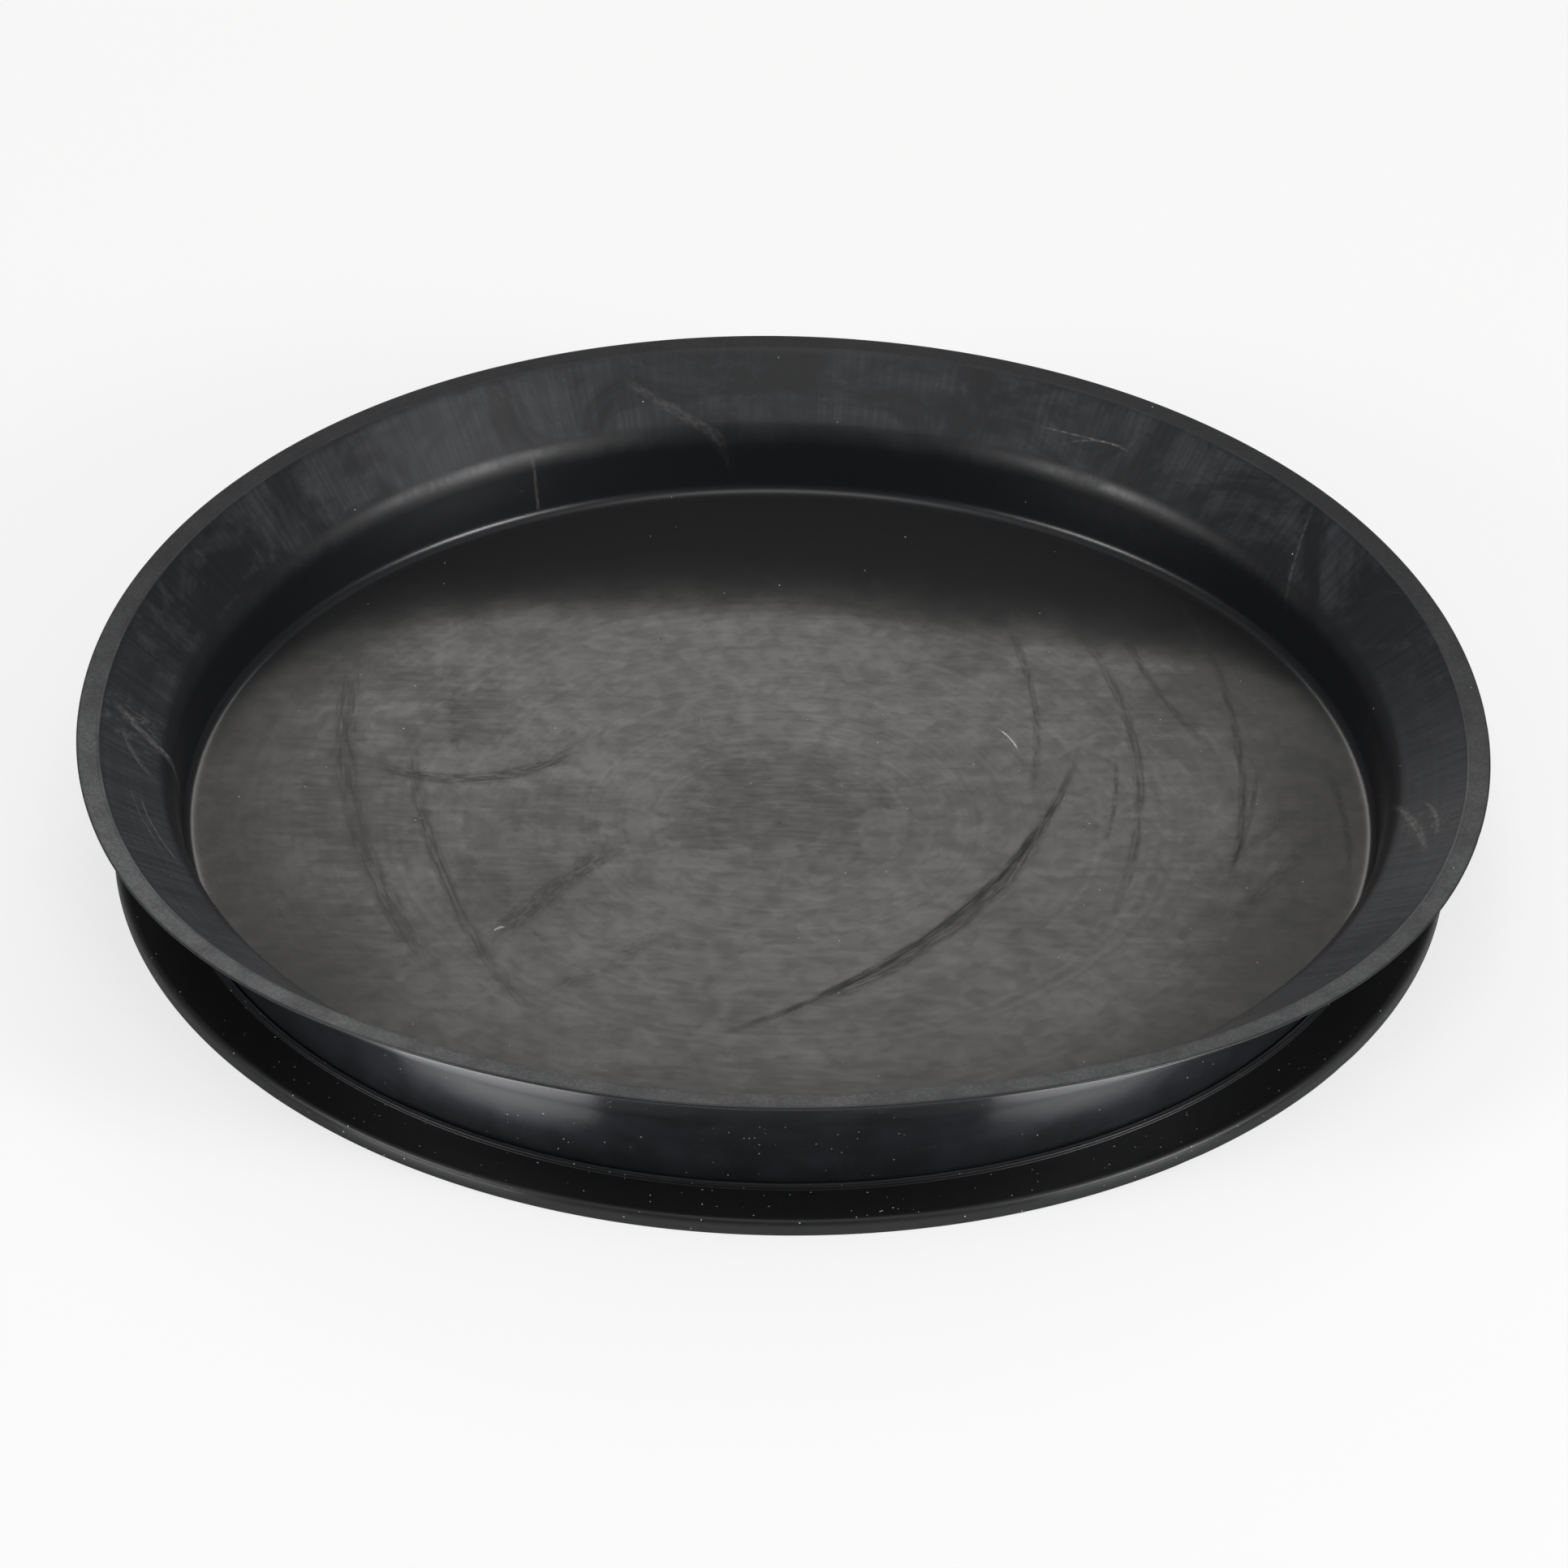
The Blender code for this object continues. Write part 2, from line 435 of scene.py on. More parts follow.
    def turn(
        self, name: str, outline: Outline, settings: TurnSettings, finish: bpy.types.Material
    ) -> bpy.types.Object:
        """Turn an outline into a plain, smooth-shaded piece.

        Args:
            name: The piece's name.
            outline: Its outline.
            settings: The tree's inputs.
            finish: Its material.

        Returns:
            The piece, with its place in its mesh.
        """
        chain = bpy.data.meshes.new(name + "_outline")
        points = [(point.x, 0.0, point.y) for point in outline.points]
        chain.from_pydata(points, [(i, i + 1) for i in range(len(points) - 1)], [])
        chain.attributes.new("along", "FLOAT", "POINT").data.foreach_set("value", outline.along)
        blank = bpy.data.objects.new(name + "_outline", chain)
        bpy.context.scene.collection.objects.link(blank)
        modifier = blank.modifiers.new(self.NAME, "NODES")
        modifier.node_group = self.tree
        for key, value in vars(settings).items():
            modifier[self.sockets[key]] = value
        modifier[self.sockets["finish"]] = finish
        graph = bpy.context.evaluated_depsgraph_get()
        mesh = bpy.data.meshes.new_from_object(blank.evaluated_get(graph))
        blank.modifiers.remove(modifier)
        bpy.data.objects.remove(blank)
        mesh.name = name
        self._close(mesh)
        piece = bpy.data.objects.new(name, mesh)
        bpy.context.scene.collection.objects.link(piece)
        return piece

    @staticmethod
    def _close(mesh: bpy.types.Mesh) -> None:
        """Point the faces outwards and shade them smooth."""
        shape = bmesh.new()
        shape.from_mesh(mesh)
        bmesh.ops.recalc_face_normals(shape, faces=shape.faces)
        shape.to_mesh(mesh)
        shape.free()
        mesh.shade_smooth()


class Tone(Enum):
    """What a mark does to the rubber under it."""

    DARK = "dark"
    PALE = "pale"


@dataclass(frozen=True)
class Smear:
    """A curved rub mark or scratch, seen from above through three (x, y) places in millimetres."""

    start: tuple[float, float]
    middle: tuple[float, float]
    end: tuple[float, float]
    width: float
    strength: float
    tone: Tone = Tone.DARK

    def circle(self) -> tuple[Vector, float]:
        """Return the centre and radius, in metres, of the circle through the three places."""
        a, b, c = (Vector(place) * MM for place in (self.start, self.middle, self.end))
        cross = 2 * (a.x * (b.y - c.y) + b.x * (c.y - a.y) + c.x * (a.y - b.y))
        squares = [a.length_squared, b.length_squared, c.length_squared]
        x = (squares[0] * (b.y - c.y) + squares[1] * (c.y - a.y) + squares[2] * (a.y - b.y)) / cross
        y = (squares[0] * (c.x - b.x) + squares[1] * (a.x - c.x) + squares[2] * (b.x - a.x)) / cross
        centre = Vector((x, y))
        return centre, (a - centre).length


@dataclass(frozen=True)
class Patch:
    """A soft-edged patch on the floor, in millimetres."""

    centre: tuple[float, float]
    size: tuple[float, float]
    strength: float


# Rub marks on the floor: the three places, the width and the strength
SMEARS = (
    Smear((-34, -139), (60, -58), (106, 52), 2.6, 0.72),
    Smear((-6, -122), (62, -62), (94, 8), 4.5, 0.45),
    Smear((-104, -80), (-79, -44), (-52, -8), 7.0, 0.35),
    Smear((-152, 98), (-150, 0), (-92, -142), 6.0, 0.32),
    Smear((-130, 44), (-117, -40), (-72, -145), 4.0, 0.32),
    Smear((-158, 44), (-106, 25), (-64, 58), 5.0, 0.42),
    Smear((-122, 128), (-98, 139), (-72, 146), 2.0, 0.30),
    Smear((78, 132), (89, 80), (86, 8), 2.0, 0.30),
    Smear((119, 132), (131, 92), (156, 44), 2.0, 0.38),
    Smear((153, 106), (161, 62), (135, -112), 2.2, 0.45),
    Smear((110, 112), (126, 40), (96, -104), 2.6, 0.34),
    Smear((168, 45), (165, 5), (156, -32), 1.4, 0.35),
    Smear((191, 44), (199, 8), (200, -24), 1.8, 0.45),
    Smear((118, 44), (118, 18), (114, -12), 1.2, 0.34),
    Smear((-90, -112), (-62, -92), (-40, -66), 6.0, 0.20),
    Smear((150, -30), (166, -8), (186, 20), 4.0, 0.25),
    Smear((158, -60), (174, -30), (192, 4), 5.0, 0.25),
    Smear((76, 62), (81, 55), (84, 46), 0.6, 0.8, Tone.PALE),
    Smear((-100, -70), (-98, -68), (-96, -67), 0.8, 0.9, Tone.PALE),
)

# Pale scratches on the lip's slope
SCRATCHES = (
    Smear((188, 146), (182, 132), (178, 116), 0.9, 0.22),
    Smear((90, 206), (106, 199), (122, 191), 0.35, 0.45),
    Smear((100, 199), (112, 196), (126, 186), 0.3, 0.35),
    Smear((-92, 196), (-88, 190), (-86, 182), 0.8, 0.30),
    Smear((-60, 222), (-40, 217), (-18, 211), 1.6, 0.16),
    Smear((-225, -30), (-219, -50), (-208, -70), 0.4, 0.50),
    Smear((-229, -26), (-223, -48), (-213, -68), 0.3, 0.40),
    Smear((-236, 18), (-224, 8), (-211, 0), 2.4, 0.45),
    Smear((-232, 8), (-228, -6), (-220, -16), 1.4, 0.30),
    Smear((216, -14), (223, -32), (226, -56), 1.8, 0.40),
    Smear((226, -18), (230, -30), (229, -46), 0.9, 0.35),
)

# Dull patches on the floor: the centre, the size and the strength
PATCHES = (
    Patch((-2, 12), (46, 42), 0.30),
    # These two are partly dirt and partly painted shade near the wall
    Patch((-150, 4), (30, 52), 0.28),
    Patch((-158, -84), (32, 56), 0.25),
    Patch((-130, 84), (20, 15), 0.28),
    Patch((-106, 66), (15, 24), 0.30),
    Patch((-124, 58), (16, 14), 0.23),
    Patch((-78, 8), (34, 18), 0.22),
    Patch((-92, -38), (30, 34), 0.19),
    Patch((164, -64), (30, 44), 0.23),
    Patch((150, 84), (34, 26), 0.22),
    Patch((66, 104), (18, 14), 0.19),
    Patch((0, -160), (80, 22), 0.23),
    Patch((182, 20), (18, 50), 0.19),
)


@dataclass(frozen=True)
class Rubber:
    """How one moulded rubber looks where it is clean, and how it wears."""

    name: str
    colour: Colour
    roughness: float
    speck_share: float
    grain_depth: float = 0.022 * MM


class RubberShader:
    """A rubber's node material; each kind of piece adds its own layers to it."""

    DUST_COLOUR = (0.52, 0.52, 0.50, 1.0)

    def __init__(self, rubber: Rubber, outline: Outline) -> None:
        """Start the material with what every layer reads.

        Args:
            rubber: The clean rubber.
            outline: The outline of the piece, which says where its surfaces start and end.
        """
        self.rubber = rubber
        self.outline = outline
        self.material = bpy.data.materials.new(rubber.name)
        self.material.use_nodes = True
        self.graph = Graph(self.material.node_tree)
        g = self.graph
        self.place = g.add("ShaderNodeTexCoord").outputs["Object"]
        self.x, self.y, self.height = g.split(self.place)
        self.level = g.join(self.x, self.y, 0.0)
        self.radius = g.vector_math("LENGTH", self.level)
        self.outward = g.vector_math("NORMALIZE", self.level)
        self.along = g.add("ShaderNodeAttribute", attribute_name="along").outputs["Fac"]
        self.colour: Feed = (*rubber.colour, 1.0)
        self.roughness: Feed = rubber.roughness
        self.relief: Feed = 0.0

    def zone(self, start: str, end: str, soft: float = 1.0 * MM) -> bpy.types.NodeSocket:
        """Return 1 on the run between two named corners of the outline.

        Args:
            start: The corner where it begins.
            end: The corner where it ends.
            soft: How far its ends fade.

        Returns:
            The socket that holds the mask.
        """
        low = self.outline.ends[start]
        high = self.outline.starts[end]
        return self.graph.band(self.along, low, high, soft)

    def tint(self, share: Feed, colour: Feed) -> None:
        """Blend the colour so far towards another."""
        self.colour = self.graph.blend(share, self.colour, colour)

    def roughen(self, share: Feed, roughness: Feed) -> None:
        """Blend the roughness so far towards another."""
        self.roughness = self.graph.between(share, self.roughness, roughness)

    def raise_by(self, share: Feed, depth: float) -> None:
        """Add a relief to the bump, in metres."""
        self.relief = self.graph.math("MULTIPLY_ADD", share, depth, self.relief)

    def specks(self, scale: float, share: Feed, size: float) -> bpy.types.NodeSocket:
        """Scatter small specks.

        Args:
            scale: Cells to a metre.
            share: The share of cells that hold a speck.
            size: A speck's radius, as a share of its cell.

        Returns:
            The socket that holds the mask.
        """
        g = self.graph
        cells = g.add("ShaderNodeTexVoronoi", {"Vector": self.place, "Scale": scale})
        chance, other, _ = g.split(cells.outputs["Color"])
        there = g.math("LESS_THAN", chance, share)
        reach = g.math("MULTIPLY", g.scaled(other, 0.35, 1.0), size)
        dot = g.ramp(cells.outputs["Distance"], reach, g.math("MULTIPLY", reach, 0.6))
        return g.math("MULTIPLY", there, dot)

    def lines(self, around: float, across: float, detail: float = 4.0) -> bpy.types.NodeSocket:
        """Return streaky noise that closes on itself round the piece.

        Args:
            around: How fast it changes going round, in features to a radius.
            across: How fast it changes across the outline, in features to a metre.
            detail: How many finer layers it has.

        Returns:
            The socket that holds 0 to 1.
        """
        g = self.graph
        x, y, _ = g.split(g.vector_math("MULTIPLY", self.outward, (around, around, 0.0)))
        return g.noise(g.join(x, y, g.math("MULTIPLY", self.along, across)), 1.0, detail, 0.65)

    def dust(self, share: Feed) -> None:
        """Lay pale lint and grit on the surface."""
        g = self.graph
        fine = self.specks(560.0, g.math("MULTIPLY", share, 0.070), 0.20)
        coarse = self.specks(190.0, g.math("MULTIPLY", share, 0.020), 0.085)
        grit = g.math("MAXIMUM", fine, coarse)
        self.tint(g.math("MULTIPLY", grit, 0.85), self.DUST_COLOUR)
        self.roughen(grit, 0.9)

    def grain(self) -> None:
        """Give the whole surface the fine grain of the mould."""
        g = self.graph
        fine = g.noise(self.place, 1700.0, 0.0, 0.6)
        soft = g.noise(self.place, 260.0, 2.0)
        self.raise_by(fine, self.rubber.grain_depth * 0.4)
        self.raise_by(soft, self.rubber.grain_depth)

    def finish(self) -> bpy.types.Material:
        """Join the layers to the shader.

        Returns:
            The finished material.
        """
        g = self.graph
        bump = g.add("ShaderNodeBump", {"Height": self.relief, "Distance": 1.0, "Strength": 1.0})
        shader = g.add(
            "ShaderNodeBsdfPrincipled",
            {"Base Color": self.colour, "Roughness": self.roughness, "Normal": bump.outputs[0], "IOR": 1.5},
        )
        g.add("ShaderNodeOutputMaterial", {"Surface": shader.outputs[0]})
        return self.material


class MarkGroups:
    """The two small shader groups that draw a floor's marks."""

    def __init__(self) -> None:
        """Build both groups."""
        self.smear = self._group(
            "smear", ("Centre", "Middle"), ("Radius", "Length", "Width", "Strength"), self._smear
        )
        self.patch = self._group("patch", ("Centre", "Size"), ("Strength",), self._patch)

    @staticmethod
    def _group(
        name: str, vectors: tuple[str, ...], floats: tuple[str, ...],
        build: Callable[[Graph, Any], bpy.types.NodeSocket],
    ) -> bpy.types.NodeTree:
        """Make a shader group with a Place input and a Mask output.

        Args:
            name: The group's name.
            vectors: Its vector inputs.
            floats: Its number inputs.
            build: What adds its nodes, given a graph and its inputs.

        Returns:
            The group.
        """
        tree = bpy.data.node_groups.new(name, "ShaderNodeTree")
        for socket in ("Place", *vectors):
            tree.interface.new_socket(socket, in_out="INPUT", socket_type="NodeSocketVector")
        for socket in floats:
            tree.interface.new_socket(socket, in_out="INPUT", socket_type="NodeSocketFloat")
        tree.interface.new_socket("Mask", in_out="OUTPUT", socket_type="NodeSocketFloat")
        graph = Graph(tree)
        given = graph.add("NodeGroupInput").outputs
        graph.add("NodeGroupOutput", {"Mask": build(graph, given)})
        return tree

    @staticmethod
    def _smear(g: Graph, given: Any) -> bpy.types.NodeSocket:
        """Return the mask of a streaky band along an arc."""
        away = g.vector_math("DISTANCE", given["Place"], given["Centre"])
        off = g.math("ABSOLUTE", g.math("SUBTRACT", away, given["Radius"]))
        wobble = g.scaled(g.noise(given["Place"], 45.0, 4.0, 0.7), 0.2, 1.8)
        band = g.ramp(g.math("DIVIDE", off, g.math("MULTIPLY", given["Width"], wobble)), 1.0, 0.25)
        to_middle = g.vector_math("DISTANCE", given["Place"], given["Middle"])
        share = g.math("DIVIDE", to_middle, given["Length"])
        fade = g.ramp(share, 0.54, 0.24)
        drawn_out = g.join(g.math("MULTIPLY", away, 1000.0), g.math("MULTIPLY", share, 16.0))
        streaks = g.noise(drawn_out, 1.0, 1.0, 0.7)
        streaks = g.scaled(g.ramp(streaks, 0.38, 0.62), 0.25, 1.0)
        return g.chain("MULTIPLY", band, fade, streaks, given["Strength"])

    @staticmethod
    def _patch(g: Graph, given: Any) -> bpy.types.NodeSocket:
        """Return the mask of a cloudy, streaky oval."""
        offset = g.vector_math("SUBTRACT", given["Place"], given["Centre"])
        offset = g.vector_math("DIVIDE", offset, given["Size"])
        ragged = g.scaled(g.noise(given["Place"], 48.0, 7.0, 0.72, 0.9), -1.1, 1.1)
        reach = g.math("ADD", g.vector_math("LENGTH", offset), ragged)
        x, y, _ = g.split(given["Place"])
        across = g.join(g.math("MULTIPLY", x, 55.0), g.math("MULTIPLY", y, 420.0))
        drawn = g.noise(across, 1.0, 4.0, 0.7, 0.4)
        drawn = g.scaled(g.ramp(drawn, 0.38, 0.62), 0.35, 1.0)
        return g.chain("MULTIPLY", g.ramp(reach, 1.0, 0.55), drawn, given["Strength"])


class PanShader(RubberShader):
    """The pan's rubber: a rubbed film on the floor with painted shade at its back and sides, a bloomed
    slope, a chalky lip face and scuffs.
    """

    FILM_COLOUR = (0.0100, 0.0092, 0.0080, 1.0)
    BLOOM_COLOUR = (0.038, 0.041, 0.047, 1.0)
    FACE_COLOUR = (0.125, 0.128, 0.131, 1.0)
    SMEAR_COLOUR = (0.0060, 0.0060, 0.0062, 1.0)
    # Painted shade: near black, laid on the floor towards the back and the sides
    PAINTED_SHADE_COLOUR = (0.0015, 0.0015, 0.0016, 1.0)
    WALL_COLOUR = (0.017, 0.018, 0.022, 1.0)
    PATCH_COLOUR = (0.0075, 0.0078, 0.0088, 1.0)
    SCUFF_COLOUR = (0.20, 0.195, 0.18, 1.0)
    PALE_COLOUR = (0.60, 0.59, 0.57, 1.0)
    SEAM_ANGLE = math.radians(87.2)
    LEFT_SCUFF = (-0.229, 0.010, 0.042)
    RIGHT_SCUFF = (0.226, -0.034, 0.042)

    def __init__(self, rubber: Rubber, outline: Outline) -> None:
        """Lay every layer over the clean rubber."""
        super().__init__(rubber, outline)
        self.marks = MarkGroups()
        self.grain()
        self.outer_wall()
        self.floor()
        self.slope()
        self.lip_face()
        self.scuffs()
        self.dust(self.dusty())

    def dusty(self) -> bpy.types.NodeSocket:
        """Return how dusty each place is: little inside, and most low on the front of the outer wall."""
        g = self.graph
        outer = self.zone("lip_outer", "foot", 2 * MM)
        front = g.ramp(self.y, -0.12, -0.22)
        drift = g.ramp(g.noise(self.place, 22.0, 2.0), 0.35, 0.65)
        shown = g.chain("MULTIPLY", outer, g.scaled(front, 0.5, 3.4), drift)
        return g.math("ADD", shown, self.rubber.speck_share)

    def outer_wall(self) -> None:
        """Dull and bloom the outer side of the wall and lip."""
        g = self.graph
        outer = self.zone("lip_outer", "foot", 2 * MM)
        cloud = g.ramp(g.noise(self.place, 60.0, 4.0, 0.65, 0.5), 0.3, 0.7)
        self.tint(g.math("MULTIPLY", outer, g.scaled(cloud, 0.45, 1.0)), self.WALL_COLOUR)
        self.roughen(outer, g.scaled(cloud, 0.38, 0.43))

    def floor(self) -> None:
        """Rub a warm grey film over the floor, mark it, and darken its back and sides with painted shade.
        """
        g = self.graph
        floor = self.zone("axis_top", "floor_edge", 3 * MM)
        cloud = g.ramp(g.noise(self.place, 13.0, 6.0, 0.60, 0.6), 0.25, 0.75)
        mottle = g.ramp(g.noise(self.place, 120.0, 5.0, 0.7, 0.5), 0.28, 0.72)
        across = g.join(g.math("MULTIPLY", self.x, 22.0), g.math("MULTIPLY", self.y, 300.0))
        wiped = g.ramp(g.noise(across, 1.0, 5.0, 0.65, 0.3), 0.28, 0.72)
        rings = g.join(g.math("MULTIPLY", self.radius, 420.0))
        turned = g.ramp(g.noise(rings, 1.0, 3.0), 0.3, 0.7)
        film = g.chain("MULTIPLY", floor, g.scaled(cloud, 0.5, 1.0), g.scaled(mottle, 0.6, 1.0))
        self.tint(film, self.FILM_COLOUR)
        rough = g.chain(
            "ADD", g.scaled(cloud, 0.385, 0.345), g.scaled(mottle, 0.042, -0.042),
            g.scaled(wiped, 0.015, -0.015), g.scaled(turned, 0.014, -0.014),
        )
        self.roughen(floor, rough)
        # Painted shade: near black towards the back, where the floor mirrors the wall, and a little darker
        # towards the sides
        skewed = g.math("MULTIPLY", self.x, 0.06)
        bowed = g.math("MULTIPLY_ADD", g.math("MULTIPLY", self.x, self.x), 1.1, skewed)
        ragged = g.scaled(g.noise(self.place, 26.0, 5.0, 0.65), -0.014, 0.014)
        back = g.ramp(g.chain("ADD", self.y, bowed, ragged), 0.122, 0.168)
        sides = g.math("MULTIPLY", g.ramp(g.math("ADD", self.radius, ragged), 0.150, 0.210), 0.22)
        painted_shade = g.math("MULTIPLY", g.math("MAXIMUM", back, sides), floor)
        self.tint(painted_shade, self.PAINTED_SHADE_COLOUR)
        self.roughen(painted_shade, 0.95)
        for tone, colour, roughness in (
            (Tone.DARK, self.SMEAR_COLOUR, 0.68), (Tone.PALE, self.PALE_COLOUR, 0.8)
        ):
            marks = [smear for smear in SMEARS if smear.tone is tone]
            mask = g.math("MULTIPLY", self._gather(self._smear, marks), floor)
            self.tint(mask, colour)
            self.roughen(mask, roughness)
        patches = g.math("MULTIPLY", self._gather(self._patch, PATCHES), floor)
        self.tint(patches, self.PATCH_COLOUR)
        self.roughen(patches, 0.60)

    def _gather(
        self, draw: Callable[[Any], bpy.types.NodeSocket], marks: Iterable[Smear | Patch]
    ) -> bpy.types.NodeSocket:
        """Return the sum of many marks' masks, no more than 1.

        Each mask is added as soon as it is made, so that the shader holds few of them at once.

        Args:
            draw: What returns one mark's mask.
            marks: The marks.

        Returns:
            The socket that holds the sum.
        """
        total: Feed = 0.0
        for mark in marks:
            total = self.graph.math("ADD", total, draw(mark))
        return self.graph.math("MINIMUM", total, 1.0)

    def _smear(self, smear: Smear) -> bpy.types.NodeSocket:
        """Return one smear's mask."""
        centre, radius = smear.circle()
        middle = Vector(smear.middle) * MM
        length = (Vector(smear.end) - Vector(smear.start)).length * MM
        return self._mark(self.marks.smear, {
            "Centre": (*centre, 0.0), "Middle": (*middle, 0.0), "Radius": radius,
            "Length": length, "Width": smear.width * MM, "Strength": smear.strength,
        })

    def _patch(self, patch: Patch) -> bpy.types.NodeSocket:
        """Return one patch's mask."""
        centre = Vector(patch.centre) * MM
        size = Vector(patch.size) * MM
        return self._mark(self.marks.patch, {
            "Centre": (*centre, 0.0), "Size": (*size, 1.0), "Strength": patch.strength,
        })

    def _mark(self, group: bpy.types.NodeTree, feeds: dict[str, Feed]) -> bpy.types.NodeSocket:
        """Return the mask of one use of a mark's group."""
        node = self.graph.add("ShaderNodeGroup", node_tree=group)
        for name, value in {"Place": self.level, **feeds}.items():
            self.graph.feed(node.inputs[name], value)
        return node.outputs[0]

    def slope(self) -> None:
        """Mottle the lip's inner slope with blue-grey bloom, rub it up and down and scratch it."""
        g = self.graph
        slope = self.zone("bend", "lip_inner", 4 * MM)
        bent = g.band(self.along, self.outline.starts["bend"], self.outline.starts["lip_inner"], 7 * MM)
        cloud = g.ramp(g.noise(self.place, 24.0, 4.0, 0.70, 1.1), 0.40, 0.64)
        rubbed = g.ramp(self.lines(150.0, 30.0, 1.0), 0.35, 0.70)
        drawn = g.ramp(self.lines(3.0, 420.0, 1.0), 0.35, 0.70)
        # The bloom is also stronger towards the front and the sides
        aside = g.math("MULTIPLY", g.math("ABSOLUTE", self.x), -0.35)
        front_and_sides = g.ramp(g.math("ADD", self.y, aside), 0.06, -0.16)
        bloom = g.chain(
            "MULTIPLY", slope, g.math("MAXIMUM", g.scaled(cloud, 0.02, 0.82), front_and_sides),
            g.scaled(rubbed, 0.50, 1.0), g.scaled(drawn, 0.75, 1.0),
        )
        self.tint(bloom, self.BLOOM_COLOUR)
        worn = g.math("ADD", g.scaled(cloud, 0.37, 0.46), g.scaled(rubbed, -0.02, 0.02))
        self.roughen(bent, worn)
        # A step in tone at the back: inside the pan the rubber is darker just left of a line at the seam
        # angle, fading out further left
        x, y, _ = g.split(self.outward)
        seam = g.math("SUBTRACT", x, math.cos(self.SEAM_ANGLE))
        side = g.math("MULTIPLY", g.ramp(seam, 0.001, -0.001), g.ramp(seam, -0.16, -0.02))
        behind = g.math("GREATER_THAN", y, 0.0)
        inside = self.zone("floor_edge", "lip_outer")
        shade = g.chain("MULTIPLY", side, behind, inside, 0.45)
        self.tint(shade, (*self.rubber.colour, 1.0))
        scratched = g.math("MULTIPLY", self._gather(self._smear, SCRATCHES), inside)
        self.tint(scratched, self.SCUFF_COLOUR)

    def lip_face(self) -> None:
        """Make the lip's flat face chalky, most of all at the front."""
        g = self.graph
        face = self.zone("lip_inner", "lip_outer", 1.6 * MM)
        cloud = g.ramp(g.noise(self.place, 70.0, 5.0, 0.7), 0.3, 0.7)
        front = g.ramp(self.y, 0.16, -0.10)
        fine = g.ramp(g.noise(self.place, 900.0, 1.0, 0.7), 0.4, 0.7)
        left = g.scaled(g.ramp(self.x, -0.04, -0.18), 0.68, 1.0)
        chalk = g.chain(
            "MULTIPLY", face, left, g.scaled(cloud, 0.5, 1.0),
            g.scaled(front, 0.18, 1.0), g.scaled(fine, 0.6, 1.0),
        )
        self.tint(chalk, self.FACE_COLOUR)
        self.roughen(face, g.scaled(front, 0.80, 0.56))

    def scuffs(self) -> None:
        """Scuff the lip's slope at its left and right ends."""
        g = self.graph
        slope = self.zone("bend", "lip_outer", 3 * MM)
        ragged = g.ramp(g.noise(self.place, 210.0, 7.0, 0.8, 0.6), 0.48, 0.72)
        for centre, reach in ((self.LEFT_SCUFF, 0.020), (self.RIGHT_SCUFF, 0.017)):
            near = g.ramp(g.vector_math("DISTANCE", self.place, centre), reach, reach * 0.1)
            mask = g.chain("MULTIPLY", slope, near, ragged, 0.55)
            self.tint(mask, self.SCUFF_COLOUR)
            self.roughen(mask, 0.75)


class BaseShader(RubberShader):
    """The base disc's rubber: duller and dustier, with a lighter grey ring and a painted sheen on its outer
    edge.
    """

    RING_COLOUR = (0.034, 0.036, 0.040, 1.0)
    # Painted sheen on the flange's outer edge face
    EDGE_SHEEN_COLOUR = (0.020, 0.021, 0.022, 1.0)

    def __init__(self, rubber: Rubber, outline: Outline) -> None:
        """Lay every layer over the clean rubber."""
        super().__init__(rubber, outline)
        g = self.graph
        self.grain()
        ring = self.zone("ring_inner", "ring_outer", 0.6 * MM)
        cloud = g.noise(self.place, 70.0, 4.0, 0.6)
        self.tint(g.math("MULTIPLY", ring, g.scaled(cloud, 0.5, 1.0)), self.RING_COLOUR)
        # Painted sheen: the flange's outer edge face is made lighter than its top, standing in for its
        # reflection of the bright surroundings
        edge = self.zone("rim_top", "rim_bottom", 1.0 * MM)
        self.tint(g.math("MULTIPLY", edge, g.scaled(cloud, 0.4, 1.0)), self.EDGE_SHEEN_COLOUR)
        self.dust(self.rubber.speck_share)


